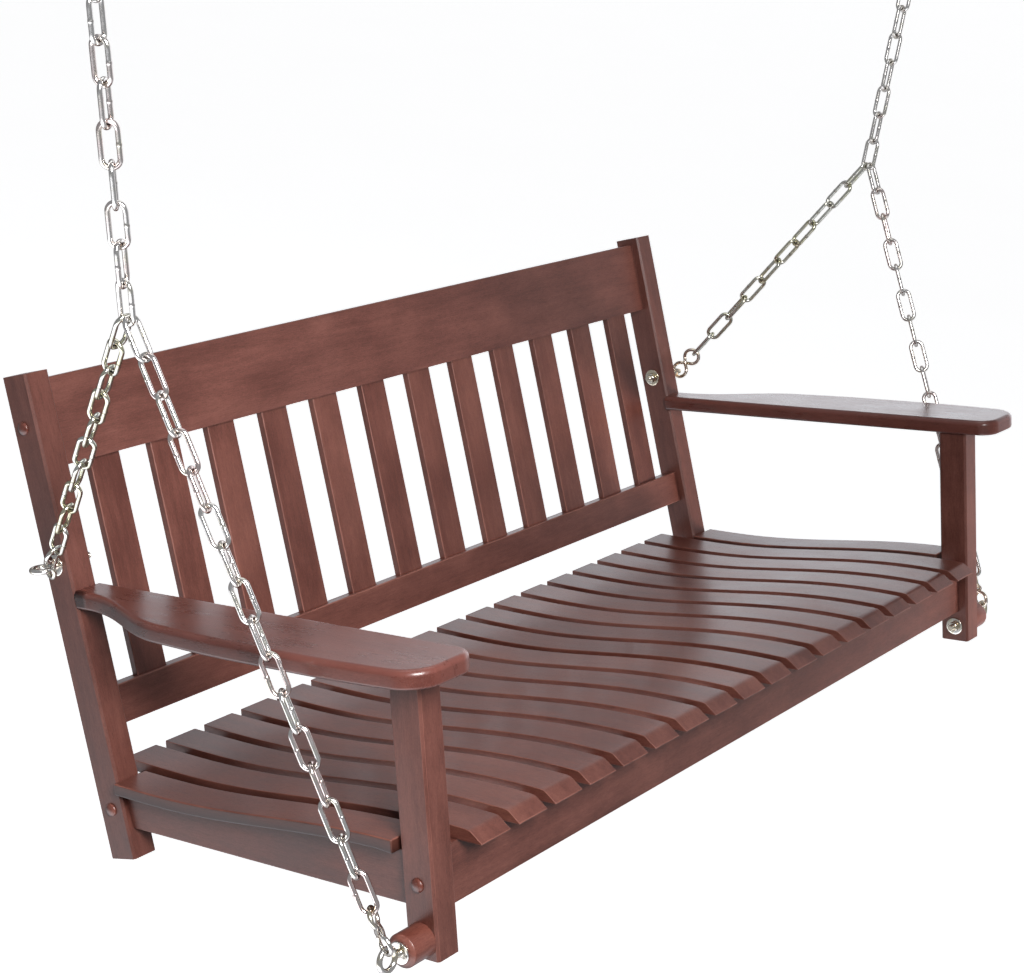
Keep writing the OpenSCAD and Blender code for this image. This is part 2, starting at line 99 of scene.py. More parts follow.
def unhung(v):
    q = np.asarray(v, float) * 1000 - [0, 0, PIV_Z]
    c, s = cos(TILT), sin(TILT)
    return np.stack([q[:, 0], c * q[:, 1] - s * q[:, 2], c * q[:, 2] + s * q[:, 1]], 1) + [0, JY, JZ]


def straight(p):
    return np.asarray(p, float) * 0.001


def mirrored(p):
    return np.asarray(p, float) * [-1, 1, 1]


# ---------------------------------------------------------------- shader helpers
class Tree:
    def __init__(self, name):
        self.mat = bpy.data.materials.new(name)
        self.mat.use_nodes = True
        self.t = self.mat.node_tree
        self.t.nodes.clear()
        self.out = self.new("ShaderNodeOutputMaterial")
        self.bsdf = self.new("ShaderNodeBsdfPrincipled")
        self.t.links.new(self.bsdf.outputs[0], self.out.inputs[0])

    def new(self, kind, **props):
        n = self.t.nodes.new(kind)
        for k, v in props.items():
            setattr(n, k, v)
        return n

    def link(self, a, b):
        self.t.links.new(a, b)

    def attribute(self, name, output="Vector"):
        return self.new("ShaderNodeAttribute", attribute_name=name, attribute_type="GEOMETRY").outputs[output]

    def scaled(self, vector, scale, add=(0, 0, 0)):
        m = self.new("ShaderNodeVectorMath", operation="MULTIPLY_ADD")
        self.link(vector, m.inputs[0])
        m.inputs[1].default_value = scale
        m.inputs[2].default_value = add
        return m.outputs[0]

    def noise(self, vector, detail=3.0, rough=0.55, distortion=0.0, scale=1.0):
        n = self.new("ShaderNodeTexNoise")
        self.link(vector, n.inputs["Vector"])
        n.inputs["Scale"].default_value = scale
        n.inputs["Detail"].default_value = detail
        n.inputs["Roughness"].default_value = rough
        n.inputs["Distortion"].default_value = distortion
        return n.outputs["Fac"]

    def math(self, op, a, b=None, c=None, clamp=False):
        m = self.new("ShaderNodeMath", operation=op, use_clamp=clamp)
        for i, v in enumerate((a, b, c)):
            if v is None:
                continue
            if isinstance(v, (int, float)):
                m.inputs[i].default_value = v
            else:
                self.link(v, m.inputs[i])
        return m.outputs[0]

    def ramp(self, fac, stops):
        r = self.new("ShaderNodeValToRGB")
        self.link(fac, r.inputs[0])
        e = r.color_ramp.elements
        while len(e) < len(stops):
            e.new(0.5)
        for k, (pos, col) in enumerate(stops):
            e[k].position = pos
            e[k].color = (*col, 1) if len(col) == 3 else col
        return r.outputs[0]

    def mix(self, fac, a, b, mode="MIX"):
        m = self.new("ShaderNodeMix", data_type="RGBA", blend_type=mode)
        if isinstance(fac, (int, float)):
            m.inputs[0].default_value = fac
        else:
            self.link(fac, m.inputs[0])
        for k, v in ((6, a), (7, b)):
            if isinstance(v, tuple):
                m.inputs[k].default_value = (*v, 1)
            else:
                self.link(v, m.inputs[k])
        return m.outputs[2]

    def remap(self, v, lo, hi, a=0.0, b=1.0):
        m = self.new("ShaderNodeMapRange")
        self.link(v, m.inputs[0])
        for k, x in zip((1, 2, 3, 4), (lo, hi, a, b)):
            m.inputs[k].default_value = x
        return m.outputs[0]


def wood(name, dark, mid, light, edge_wear_and_highlight_colour, rough=0.40, coat=0.12, streaky=1.0, dusk=1.0):
    """Stained tropical hardwood: fine fibres and pores, soft mottling, a per-board tone, lighter eased edges that are
    partly worn stain and partly a painted edge highlight, painted shade deepening down into the seat-slat gaps, satin
    lacquer.
    """
    t = Tree(name)
    g = t.attribute("grain")
    tone = t.attribute("tone", "Fac")
    wear_and_highlight = t.attribute("wear_and_highlight", "Fac")
    wide = t.noise(t.scaled(g, (2.0, 24, 24)), 2, 0.5, 0.6)
    streak = t.noise(t.scaled(g, (14, 150, 150), (3.1, 1.7, 0.4)), 4, 0.6, 0.25)
    fine = t.noise(t.scaled(g, (90, 700, 700), (7.7, 0.3, 5.1)), 3, 0.7)
    speck = t.noise(t.scaled(g, (420, 950, 950), (2.2, 6.1, 1.1)), 2, 0.6)
    cloud = t.noise(t.scaled(g, (11, 16, 16), (0.9, 8.2, 2.3)), 3, 0.6)
    pores = t.noise(t.scaled(g, (110, 1500, 1500), (1.3, 4.4, 9.2)), 2, 0.5)
    v = t.math("MULTIPLY", wide, 0.16)
    v = t.math("MULTIPLY_ADD", streak, 0.17 * streaky, v)
    v = t.math("MULTIPLY_ADD", fine, 0.20, v)
    v = t.math("MULTIPLY_ADD", speck, 0.18, v)
    v = t.math("MULTIPLY_ADD", cloud, 0.29, v)
    v = t.math("MULTIPLY_ADD", tone, 0.09, t.math("SUBTRACT", v, 0.045 - 0.085 * (1 - streaky)))
    col = t.ramp(v, [(0.41, dark), (0.50, mid), (0.60, light)])
    pore_mask = t.remap(pores, 0.60, 0.74)
    col = t.mix(t.math("MULTIPLY", pore_mask, 0.42), col, tuple(0.45 * c for c in dark))
    patch = t.noise(t.scaled(g, (30, 55, 55), (5.5, 2.2, 0.1)), 2, 0.6)
    # lighter eased edges: partly worn stain, partly a painted edge highlight
    worn_and_lit = t.math("MULTIPLY", wear_and_highlight, t.remap(patch, 0.30, 0.62, 0.20, 0.75), clamp=True)
    col = t.mix(worn_and_lit, col, edge_wear_and_highlight_colour)
    # painted shade: slat sides and undersides darken with depth below the seat top, standing in for the shade between
    # the seat slats
    col = t.mix(t.math("MULTIPLY", t.attribute("painted_gap_shade", "Fac"), 0.85), col, tuple(0.16 * c for c in dark))
    t.link(col, t.bsdf.inputs["Base Color"])
    r = t.math("MULTIPLY_ADD", streak, 0.14, rough - 0.08)
    r = t.math("MULTIPLY_ADD", cloud, 0.18, t.math("SUBTRACT", r, 0.08))
    r = t.math("MULTIPLY_ADD", pore_mask, 0.14, r, clamp=True)
    t.link(r, t.bsdf.inputs["Roughness"])
    h = t.math("MULTIPLY", streak, 0.35)
    h = t.math("MULTIPLY_ADD", fine, 0.35, h)
    h = t.math("MULTIPLY_ADD", speck, 0.20, h)
    h = t.math("MULTIPLY_ADD", pore_mask, -0.5, h)
    b = t.new("ShaderNodeBump")
    b.inputs["Strength"].default_value = 0.30
    b.inputs["Distance"].default_value = 0.0003
    t.link(h, b.inputs["Height"])
    t.link(b.outputs[0], t.bsdf.inputs["Normal"])
    t.bsdf.inputs["IOR"].default_value = 1.5
    t.bsdf.inputs["Coat Weight"].default_value = coat
    t.bsdf.inputs["Coat Roughness"].default_value = 0.24
    return t.mat


def steel(name, silver, warm, tint, rough=0.16, warm_bias=0.0, tarnish=0.25, rim=(0.30, 0.25, 0.24)):
    """Bright zinc plate with faint yellow and pink passivation colours, dulled where the wires touch."""
    t = Tree(name)
    g = t.attribute("grain")
    tone = t.attribute("tone", "Fac")
    wear_and_highlight = t.attribute("wear_and_highlight", "Fac")
    a = t.noise(t.scaled(g, (26, 26, 26)), 3, 0.55, 0.3)
    c = t.noise(t.scaled(g, (60, 60, 60), (3.3, 1.1, 7.2)), 3, 0.6)
    d = t.noise(t.scaled(g, (700, 700, 700), (1.9, 6.4, 0.6)), 2, 0.5)
    s = t.noise(t.scaled(g, (170, 170, 170), (8.1, 0.7, 2.9)), 4, 0.65)
    f = t.math("ADD", a, t.math("MULTIPLY_ADD", tone, 0.5, warm_bias - 0.25))
    col = t.mix(t.remap(f, 0.42, 0.66), silver, warm)
    col = t.mix(t.math("MULTIPLY", t.remap(c, 0.50, 0.68), 0.75), col, tint)
    stain = t.math("MULTIPLY", t.remap(s, 0.56, 0.74), tarnish)
    col = t.mix(stain, col, (0.20, 0.15, 0.13))
    touch = t.math("MULTIPLY", wear_and_highlight, t.remap(s, 0.25, 0.65, 0.35, 1.0), clamp=True)
    col = t.mix(touch, col, (0.085, 0.042, 0.034))
    t.link(col, t.bsdf.inputs["Base Color"])
    t.bsdf.inputs["Metallic"].default_value = 1.0
    t.bsdf.inputs["Specular Tint"].default_value = (*rim, 1)
    r = t.math("MULTIPLY_ADD", s, 0.14, rough - 0.06)
    r = t.math("MULTIPLY_ADD", stain, 0.3, r)
    r = t.math("MULTIPLY_ADD", touch, 0.25, r, clamp=True)
    t.link(r, t.bsdf.inputs["Roughness"])
    h = t.math("MULTIPLY_ADD", s, 0.6, t.math("MULTIPLY", d, 0.3))
    b = t.new("ShaderNodeBump")
    b.inputs["Strength"].default_value = 0.22
    b.inputs["Distance"].default_value = 0.0003
    t.link(h, b.inputs["Height"])
    t.link(b.outputs[0], t.bsdf.inputs["Normal"])
    return t.mat


FRAME_WOOD = wood("frame_wood", (0.086, 0.026, 0.018), (0.132, 0.044, 0.032), (0.187, 0.068, 0.050), (0.30, 0.120, 0.090))
SLAT_WOOD = wood("slat_wood", (0.090, 0.026, 0.018), (0.138, 0.045, 0.032), (0.195, 0.070, 0.050), (0.30, 0.118, 0.086), rough=0.36)
ARM_WOOD = wood("arm_wood", (0.090, 0.025, 0.018), (0.132, 0.040, 0.029), (0.180, 0.060, 0.045), (0.165, 0.054, 0.042), rough=0.29, coat=0.25, streaky=0.7)
TURNED_WOOD = wood("turned_wood", (0.105, 0.026, 0.017), (0.165, 0.050, 0.035), (0.225, 0.078, 0.055), (0.30, 0.115, 0.085), rough=0.32, coat=0.25)
CHAIN = steel("chain_steel", (0.86, 0.84, 0.81), (0.84, 0.72, 0.69), (0.80, 0.78, 0.66))
REAR_CHAIN = steel("rear_chain_steel", (0.74, 0.74, 0.68), (0.70, 0.66, 0.50), (0.64, 0.64, 0.42), tarnish=0.4)
EIGHT = steel("connector_steel", (0.80, 0.78, 0.74), (0.80, 0.68, 0.58), (0.72, 0.66, 0.46), rough=0.17)
EYE = steel("eye_steel", (0.82, 0.80, 0.76), (0.82, 0.74, 0.60), (0.76, 0.68, 0.46), rough=0.17)
HOOK = steel("hook_steel", (0.80, 0.78, 0.74), (0.80, 0.72, 0.60), (0.74, 0.70, 0.52), rough=0.20)
BOLT = steel("bolt_steel", (0.74, 0.72, 0.68), (0.76, 0.68, 0.54), (0.70, 0.62, 0.44), rough=0.28, tarnish=0.5)


# ---------------------------------------------------------------- mesh helpers
class Geo:
    """Collects verts and faces with the grain, tone and wear-and-highlight values that the materials read."""

    def __init__(self):
        self.v, self.f, self.g, self.t, self.r = [], [], [], [], []
        self.n = 0

    def add(self, verts, faces, grain, tone=0.5, wear_and_highlight=None):
        verts = np.asarray(verts, float)
        self.v.append(verts)
        self.f.extend([tuple(i + self.n for i in f) for f in faces])
        self.g.append(np.asarray(grain, float))
        self.t.append(np.full(len(verts), float(tone)))
        self.r.append(np.zeros(len(verts)) if wear_and_highlight is None else np.asarray(wear_and_highlight, float))
        self.n += len(verts)
        return self

    def flip(self):
        self.f = [tuple(reversed(f)) for f in self.f]


def write(me, name, values):
    kind = "FLOAT_VECTOR" if values.ndim == 2 else "FLOAT"
    a = me.attributes.new(name, kind, "POINT")
    a.data.foreach_set("vector" if values.ndim == 2 else "value", values.astype(np.float32).ravel())


def make(name, geo, mat, body, nodes, sharp=40.0):
    me = bpy.data.meshes.new(name)
    me.from_pydata(np.concatenate(geo.v).tolist(), [], geo.f)
    me.validate()
    write(me, "grain", np.concatenate(geo.g))
    write(me, "tone", np.concatenate(geo.t))
    write(me, "wear_and_highlight", np.concatenate(geo.r))
    write(me, "painted_gap_shade", np.zeros(geo.n))
    bm = bmesh.new()
    bm.from_mesh(me)
    bmesh.ops.recalc_face_normals(bm, faces=bm.faces)
    for f in bm.faces:
        f.smooth = True
    for e in bm.edges:
        e.smooth = not (e.is_manifold and e.calc_face_angle(0) > rad(sharp))
    bm.to_mesh(me)
    bm.free()
    me.materials.append(mat)
    o = bpy.data.objects.new(name, me)
    scene.collection.objects.link(o)
    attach(o, body)
    if nodes:
        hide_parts(*nodes)
    return o


def tube(path, radius, segs=16, closed=False, start=None):
    """A swept round wire. Open ends close in a small rounded cap."""
    p = np.asarray(path, float)
    n = len(p)
    r = np.full(n, float(radius)) if np.isscalar(radius) else np.asarray(radius, float)
    tan = (np.roll(p, -1, 0) - np.roll(p, 1, 0)) if closed else np.gradient(p, axis=0)
    tan /= np.linalg.norm(tan, axis=1)[:, None]
    nrm = np.zeros_like(p)
    ref = np.array(start if start is not None else ([0, 0, 1] if abs(tan[0][2]) < 0.9 else [1, 0, 0]), float)
    nrm[0] = unit(ref - tan[0] * (ref @ tan[0]))
    for i in range(1, n):
        q = nrm[i - 1] - tan[i] * (nrm[i - 1] @ tan[i])
        nrm[i] = unit(q)
    twist = np.zeros(n)
    if closed:
        q = unit(nrm[-1] - tan[0] * (nrm[-1] @ tan[0]))
        ang = math.atan2(np.cross(q, nrm[0]) @ tan[0], q @ nrm[0])
        twist = ang * np.arange(n) / n
    bi = np.cross(tan, nrm)
    rings, faces = [], []
    seq = list(range(n))
    lead = [] if closed else [(0, -0.62, 0.55), (0, -0.42, 0.82), (0, -0.18, 0.96)]
    tail = [] if closed else [(n - 1, 0.18, 0.96), (n - 1, 0.42, 0.82), (n - 1, 0.62, 0.55)]
    th = 2 * math.pi * np.arange(segs) / segs
    for i, along_r, k in lead + [(i, 0.0, 1.0) for i in seq] + tail:
        a = th + twist[i]
        rings.append(p[i] + tan[i] * along_r * r[i] * 0.5
                     + k * r[i] * (np.cos(a)[:, None] * nrm[i] + np.sin(a)[:, None] * bi[i]))
    m = len(rings)
    for j in range(m if closed else m - 1):
        for k in range(segs):
            a, b = j * segs + k, j * segs + (k + 1) % segs
            c, d = ((j + 1) % m) * segs + (k + 1) % segs, ((j + 1) % m) * segs + k
            faces.append((a, b, c, d))
    if not closed:
        faces.append(tuple(range(segs))[::-1])
        faces.append(tuple((m - 1) * segs + k for k in range(segs)))
    return np.concatenate(rings), faces


def revolve(profile, segs=48, closed=False):
    """Spins (radius, height) points about z. Radius 0 at an open end becomes one point."""
    verts, rows = [], []
    for r, z in profile:
        if r < 1e-6:
            rows.append([len(verts)] * segs)
            verts.append((0, 0, z))
        else:
            rows.append(list(range(len(verts), len(verts) + segs)))
            verts.extend((r * cos(2 * math.pi * k / segs), r * sin(2 * math.pi * k / segs), z) for k in range(segs))
    faces = []
    m = len(rows)
    for j in range(m if closed else m - 1):
        a, b = rows[j], rows[(j + 1) % m]
        for k in range(segs):
            f = [a[k], a[(k + 1) % segs], b[(k + 1) % segs], b[k]]
            f = [x for i, x in enumerate(f) if x not in f[:i]]
            if len(f) > 2:
                faces.append(tuple(f))
    return np.array(verts, float), faces


def rounded(points, r, steps=4):
    """A (radius, height) outline with its corners rounded by r, or by the third number of a point."""
    out = []
    n = len(points)
    for i, p in enumerate(points):
        rr = p[2] if len(p) > 2 else r
        p = np.array(p[:2], float)
        a, b = np.array(points[i - 1][:2], float), np.array(points[(i + 1) % n][:2], float)
        if rr <= 0:
            out.append(tuple(p))
            continue
        da, db = unit(a - p), unit(b - p)
        half = math.acos(max(-1, min(1, da @ db))) / 2
        if half > 1.5 or half < 0.05:
            out.append(tuple(p))
            continue
        d = min(rr / math.tan(half), 0.45 * np.linalg.norm(a - p), 0.45 * np.linalg.norm(b - p))
        for k in range(steps + 1):
            s = k / steps
            q0, q1 = p + da * d, p + db * d
            out.append(tuple((1 - s) ** 2 * q0 + 2 * s * (1 - s) * p + s * s * q1))
    return out


def outward(verts):
    """A shape about z turned so that z points along +x."""
    v = np.asarray(verts, float)
    return np.stack([v[:, 2], v[:, 1], -v[:, 0]], 1)


def basis(u, roll):
    """The part source's along(): z on u, x as near to +x as it can be, then rolled."""
    b, g = math.acos(u[2]), math.atan2(u[1], u[0])
    a = math.atan2(-sin(g), cos(b) * cos(g)) + rad(roll)
    rz = lambda t: np.array([[cos(t), -sin(t), 0], [sin(t), cos(t), 0], [0, 0, 1]])
    ry = np.array([[cos(b), 0, sin(b)], [0, 1, 0], [-sin(b), 0, cos(b)]])
    return rz(g) @ ry @ rz(a)


rng = np.random.default_rng(5)


# ---------------------------------------------------------------- wood pieces, from the CAD solids
def grain_axes(b, kind):
    """Millimetre bench coordinates to grain coordinates in metres: first along the fibres."""
    if kind in ("raked_z", "raked_x"):
        y, z = b[:, 1] - BTY, b[:, 2] - BTZ
        c, s = cos(RAKE), sin(RAKE)
        y, z = c * y - s * z, s * y + c * z
        q = np.stack([z, b[:, 0], y] if kind == "raked_z" else [b[:, 0], z, y], 1)
    else:
        q = {"x": b[:, [0, 2, 1]], "y": b[:, [1, 0, 2]], "z": b[:, [2, 0, 1]]}[kind]
    return q * 0.001


def board(name, node, mat, kind, width, island=None, segs=3, special=None, min_angle=24.0, tone=None, depth=False):
    """A finished wooden piece: the CAD solid's faces merged, its edges eased, and its grain laid along the board."""
    src = NODES[node].data
    bm = bmesh.new()
    bm.from_mesh(src)
    bmesh.ops.remove_doubles(bm, verts=bm.verts, dist=2e-5)
    bmesh.ops.dissolve_limit(bm, angle_limit=rad(0.35), verts=bm.verts, edges=bm.edges)
    bm.normal_update()
    flag = bm.faces.layers.int.new("eased")

    def ease(edges, w, n, clamp=True):
        got = bmesh.ops.bevel(bm, geom=edges, offset=w * 0.001, offset_type="OFFSET", segments=n, profile=0.5,
                              affect="EDGES", clamp_overlap=clamp, miter_outer="SHARP")
        for f in got["faces"]:
            f[flag] = 1
        bm.normal_update()

    if special:
        special(bm, ease)
    if width:
        ease([e for e in bm.edges if e.is_manifold and e.calc_face_angle(0) > rad(min_angle)
              and not all(f[flag] for f in e.link_faces)], width, segs)
    # vertices wholly on eased faces carry the lighter edge colour: worn stain and a painted edge highlight
    wear_and_highlight_layer = bm.verts.layers.float.new("wear_and_highlight_verts")
    for v in bm.verts:
        v[wear_and_highlight_layer] = 1.0 if v.link_faces and all(f[flag] for f in v.link_faces) else 0.0
    wear_and_highlight = np.array([v[wear_and_highlight_layer] for v in bm.verts])
    for f in bm.faces:
        f.smooth = True
    me = bpy.data.meshes.new(name)
    bm.to_mesh(me)
    bm.free()
    for a in [a.name for a in me.attributes if a.name in ("custom_normal", "eased", "wear_and_highlight_verts") or a.domain == "CORNER" and not a.is_required]:
        if a in me.attributes:
            me.attributes.remove(me.attributes[a])
    me.materials.clear()
    me.materials.append(mat)
    co = np.zeros(len(me.vertices) * 3)
    me.vertices.foreach_get("co", co)
    b = unhung(co.reshape(-1, 3))
    idx = np.zeros(len(b), int) if island is None else np.round(island(b)).astype(int)
    seed = abs(hash_name(node))
    table = np.random.default_rng(seed).random((64, 4))
    k = (idx - idx.min()) % 64
    g = grain_axes(b, kind) + table[k][:, :3] * [3.0, 2.0, 2.0]
    write(me, "grain", g)
    write(me, "tone", np.full(len(b), tone) if tone is not None and island is None else table[k][:, 3] * 0.9 + 0.05)
    write(me, "wear_and_highlight", wear_and_highlight)
    # painted shade for the seat-slat gaps: the colour darkens with depth below the seat's top face
    write(me, "painted_gap_shade", np.zeros(len(b)) if not depth else np.clip((seat_top(b[:, 1]) - b[:, 2] - 0.7) / 1.8, 0, 1))
    o = bpy.data.objects.new(name, me)
    scene.collection.objects.link(o)
    w = o.modifiers.new("even_normals", "WEIGHTED_NORMAL")
    w.mode = "FACE_AREA"
    w.weight = 50
    w.keep_sharp = True
    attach(o, "bench")
    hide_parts(node)
    return o


def seat_top(y):
    """Height of the seat's upper face at a place from front to back, in bench millimetres."""
    y = np.asarray(y, float)
    mid = lambda y: 114.25 + 9.25 * np.cos(np.pi * (y - 60) / 315)
    back = 105 + 3.5 * (1 - np.cos(np.pi / 2 * (y - 375) / 121))
    nose = 108.2 + (mid(-5.0) - 108.2) * np.clip((y + 20) / 15, 0, 1)
    return np.where(y < -5, nose, np.where(y < 375, mid(y), back))


def hash_name(s):
    h = 7
    for c in s:
        h = (h * 131 + ord(c)) % 1000003
    return h


def arm_edges(bm, ease):
    """The armrest's long rounded edges: generous on top, smaller below, none where it meets the post."""
    up = Vector((0, sin(TILT), cos(TILT)))

    def level(f):
        return f.normal.dot(up)

    def picks(sign):
        out = []
        for e in bm.edges:
            if not e.is_manifold or e.calc_face_angle(0) < rad(50):
                continue
            a, b = e.link_faces
            if level(a) * sign < level(b) * sign:
                a, b = b, a
            if level(a) * sign > 0.99 and abs(level(b)) < 0.02:
                out.append(e)
        return out

    ease(picks(1), 6.5, 6, False)
    ease(picks(-1), 3.5, 4, False)


for side in ("left", "right"):
    board(side + "_front_leg", side + "_front_post", FRAME_WOOD, "z", 0.9, tone=0.55)
    board(side + "_back_upright", side + "_back_post", FRAME_WOOD, "raked_z", 0.9, tone=0.45)
    board(side + "_arm", side + "_armrest", ARM_WOOD, "y", 0, special=arm_edges, tone=0.5)
    board(side + "_seat_side", side + "_side_rail", FRAME_WOOD, "y", 1.6, tone=0.5)
board("crest_rail", "top_back_rail", FRAME_WOOD, "raked_x", 1.8, tone=0.5)
board("lower_back_rail", "bottom_back_rail", FRAME_WOOD, "raked_x", 1.8, tone=0.45)
board("seat_front_rail", "front_rail", FRAME_WOOD, "x", 1.8, tone=0.6)
board("seat_back_rail", "rear_seat_rail", FRAME_WOOD, "x", 1.8, tone=0.4)
board("seat_middle_rail", "centre_support", FRAME_WOOD, "y", 1.5, tone=0.4)
board("back_slat_set", "back_slats", SLAT_WOOD, "raked_z", 1.5, island=lambda b: b[:, 0] / 91.2 - 0.5)
# depth=True paints shade into the sides and undersides of the seat slats
board("seat_slat_set", "seat_slats", SLAT_WOOD, "y", 1.7, island=lambda b: b[:, 0] / 61.5 - 0.5, depth=True)
board("end_slat_pair", "outer_seat_slats", SLAT_WOOD, "y", 1.7, island=lambda b: (b[:, 0] > 0) * 1.0, depth=True)

# ---------------------------------------------------------------- turned wood
spin = Geo()
prof = rounded([(4.2, 0), (SPACER_D / 2, 0, 0.8), (SPACER_D / 2, SPACER_L - 3.2, 2.2), (SPACER_D / 2 - 4.2, SPACER_L, 3.0), (4.2, SPACER_L, 0.3)], 0.4, 5)
v0, f0 = revolve(prof, 64, closed=True)
ridge = 1 + 0.0016 * np.sin(5 * np.arctan2(v0[:, 1], v0[:, 0]) + 1.1)
v0 = v0 * np.stack([ridge, ridge, np.ones(len(v0))], 1)
for k, s in enumerate((-1, 1)):
    v = outward(v0) + [HALF, 19.5, 21]
    # the rim at the spacer's outer end gets the lighter edge colour: worn stain and a painted edge highlight
    wear_and_highlight = np.exp(-((v0[:, 2] - SPACER_L + 1.8) / 1.6) ** 2) * (np.hypot(v0[:, 0], v0[:, 1]) > 12) * 0.8
    spin.add(hung(v * [s, 1, 1]), f0, v[:, [0, 1, 2]] * 0.001 + [k * 1.3, 0.4 * k, 0.2], 0.5 + 0.2 * k, wear_and_highlight)
make("spacer_pair", spin, TURNED_WOOD, "bench", ["wood_spacers"])

plug = Geo()
prof = [(0, 0), (6.5, 0), (6.5, 6.5), (7.1, 6.5), (7.5, 6.8), (7.5, 7.3)]
prof += [(7.5 * cos(rad(a)), 7.3 + 3.0 * sin(rad(a))) for a in (10, 22, 34, 46, 58, 70, 80)] + [(0, 10.35)]
v0, f0 = revolve(prof, 40)
top_s = 9 + 49.0
places = [(20.5, 78.0), (BTY + 22 * cos(RAKE) - top_s * sin(RAKE), BTZ - 22 * sin(RAKE) - top_s * cos(RAKE)),
          (BTY - (BTZ - 70) * math.tan(RAKE) + 20 / cos(RAKE), 70.0)]
for k, (y, z) in enumerate(places):
    for s in (-1, 1):
        v = outward(v0) + [HALF - 6.5, y, z]
        plug.add(hung(v * [s, 1, 1]), f0, v * 0.001 + [k * 2.1 + s, 0.3 * k, 0.7 * s], 0.35 + 0.12 * k)
make("plug_set", plug, TURNED_WOOD, "bench", ["button_plugs"])

# ---------------------------------------------------------------- chain
def link_path():
    pts, r = [], []
    zs = np.concatenate([np.linspace(RM, LK / 2 - 4, 5), np.linspace(LK / 2 - 2.6, LK / 2 + 2.6, 11), np.linspace(LK / 2 + 4, LK - RM, 5)])
    for z in zs:
        pts.append((RM, 0, z))
        d = (z - LK / 2) / 1.15
        r.append(WIRE / 2 * (1 + 0.13 * math.exp(-d * d) - 0.07 * math.exp(-(d * 3.2) ** 2)))
    for a in np.linspace(0, 180, 17)[1:-1]:
        pts.append((RM * cos(rad(a)), 0, LK - RM + RM * sin(rad(a))))
        r.append(WIRE / 2)
    for z in np.linspace(LK - RM, RM, 9):
        pts.append((-RM, 0, z))
        r.append(WIRE / 2)
    for a in np.linspace(180, 360, 17)[1:-1]:
        pts.append((RM * cos(rad(a)), 0, RM + RM * sin(rad(a))))
        r.append(WIRE / 2)
    return np.array(pts), np.array(r)


LINK_P, LINK_R = link_path()
LINK_V, LINK_F = tube(LINK_P, LINK_R, 14, closed=True, start=(0, 1, 0))
# the inside of each end, where the next link bears, and the weld
_end = np.minimum(np.linalg.norm(LINK_V - [0, 0, WIRE * 0.62], axis=1), np.linalg.norm(LINK_V - [0, 0, LK - WIRE * 0.62], axis=1))
LINK_RUB = np.clip(1.15 - _end / 4.2, 0, 0.9)
LINK_RUB = np.maximum(LINK_RUB, 0.55 * np.exp(-((LINK_V[:, 2] - LK / 2) / 0.7) ** 2) * (LINK_V[:, 0] > 0))
TWISTS = {"left_front": ([0, 3], [0, 30]), "right_front": ([0, 3], [0, -28]), "left_rear": ([0, 5, 9], [0, 30, 8]),
          "right_rear": ([0, 9], [0, 75]), "left_upper": ([0, 1, 3, 4, 5, 8], [0, -25, -45, -45, -20, 0]), "right_upper": ([0, 8], [0, -6])}


def chain(run, body, P, u, n, first, to_row, flip, mat=CHAIN, lean=0.0):
    geo = Geo()
    for i in range(n):
        roll = first + 90 * i + np.interp(i, *TWISTS[run]) + (rng.uniform(-3.5, 3.5) if i else 0)
        m = basis(u, roll)
        v = LINK_V.copy()
        if rng.random() < 0.5:
            v[:, 0] *= -1
        v = v @ m.T + P + u * PITCH * i
        if flip:
            v = mirrored(v)
        geo.add(to_row(v), LINK_F, v * 0.001 + rng.uniform(0, 5, 3), rng.uniform(0.1, 0.9) + lean, LINK_RUB)
    return make(run + "_run", geo, mat, body, [run + "_chain"])


for side, flip in (("left", True), ("right", False)):
    chain(side + "_front", "bench", JF, UF, FRONT_N, 0, hung, flip)
    chain(side + "_rear", "bench", JR, UR, REAR_N, 0, hung, flip, REAR_CHAIN)
    chain(side + "_upper", side + "_hanger", np.array([JX, 0, PIV_Z]) - UP * RM, UP, UP_N, 90, straight, flip, lean=-0.2)


# ---------------------------------------------------------------- figure-eight connectors
def eight(length, turn0=0.0, turn1=90.0):
    """One bent wire: a loop, a crossing neck that turns, and a loop at an angle to the first."""
    z1, z2 = EIGHT_R, length - EIGHT_R
    d = z2 - z1
    beta = math.acos(min(0.95, 2 * EIGHT_R / d)) if d > 2 * EIGHT_R else rad(24)
    lift = EIGHT_W / 2 + 0.12
    q, z, p = [], [], []

    def arc(cz, a0, a1, n):
        for a in np.linspace(a0, a1, n):
            q.append(EIGHT_R * sin(a))
            z.append(cz + EIGHT_R * cos(a))
            p.append(0.0)

    def run(sign, n=9):
        # from loop 1 side -sign to loop 2 side +sign
        a = np.array([-sign * EIGHT_R * sin(beta), z1 + EIGHT_R * cos(beta)])
        b = np.array([sign * EIGHT_R * sin(beta), z2 - EIGHT_R * cos(beta)])
        s = np.linspace(0, 1, n + 2)[1:-1]
        pts = a + (b - a) * s[:, None]
        return pts, lift * np.sin(math.pi * s) * sign

    arc(z1, beta, 2 * math.pi - beta, 30)
    pts, lifts = run(1)
    q.extend(pts[:, 0]), z.extend(pts[:, 1]), p.extend(lifts)
    arc(z2, math.pi - beta, -math.pi + beta, 30)
    pts, lifts = run(-1)
    q.extend(pts[::-1, 0]), z.extend(pts[::-1, 1]), p.extend(lifts[::-1])
    q, z, p = np.array(q), np.array(z), np.array(p)
    t = np.clip((z - (z1 + 0.3 * EIGHT_R)) / max(1.0, (z2 - 0.3 * EIGHT_R) - (z1 + 0.3 * EIGHT_R)), 0, 1)
    phi = np.radians(turn0 + (turn1 - turn0) * t * t * (3 - 2 * t))
    path = np.stack([q * np.cos(phi) - p * np.sin(phi), q * np.sin(phi) + p * np.cos(phi), z], 1)
    return path


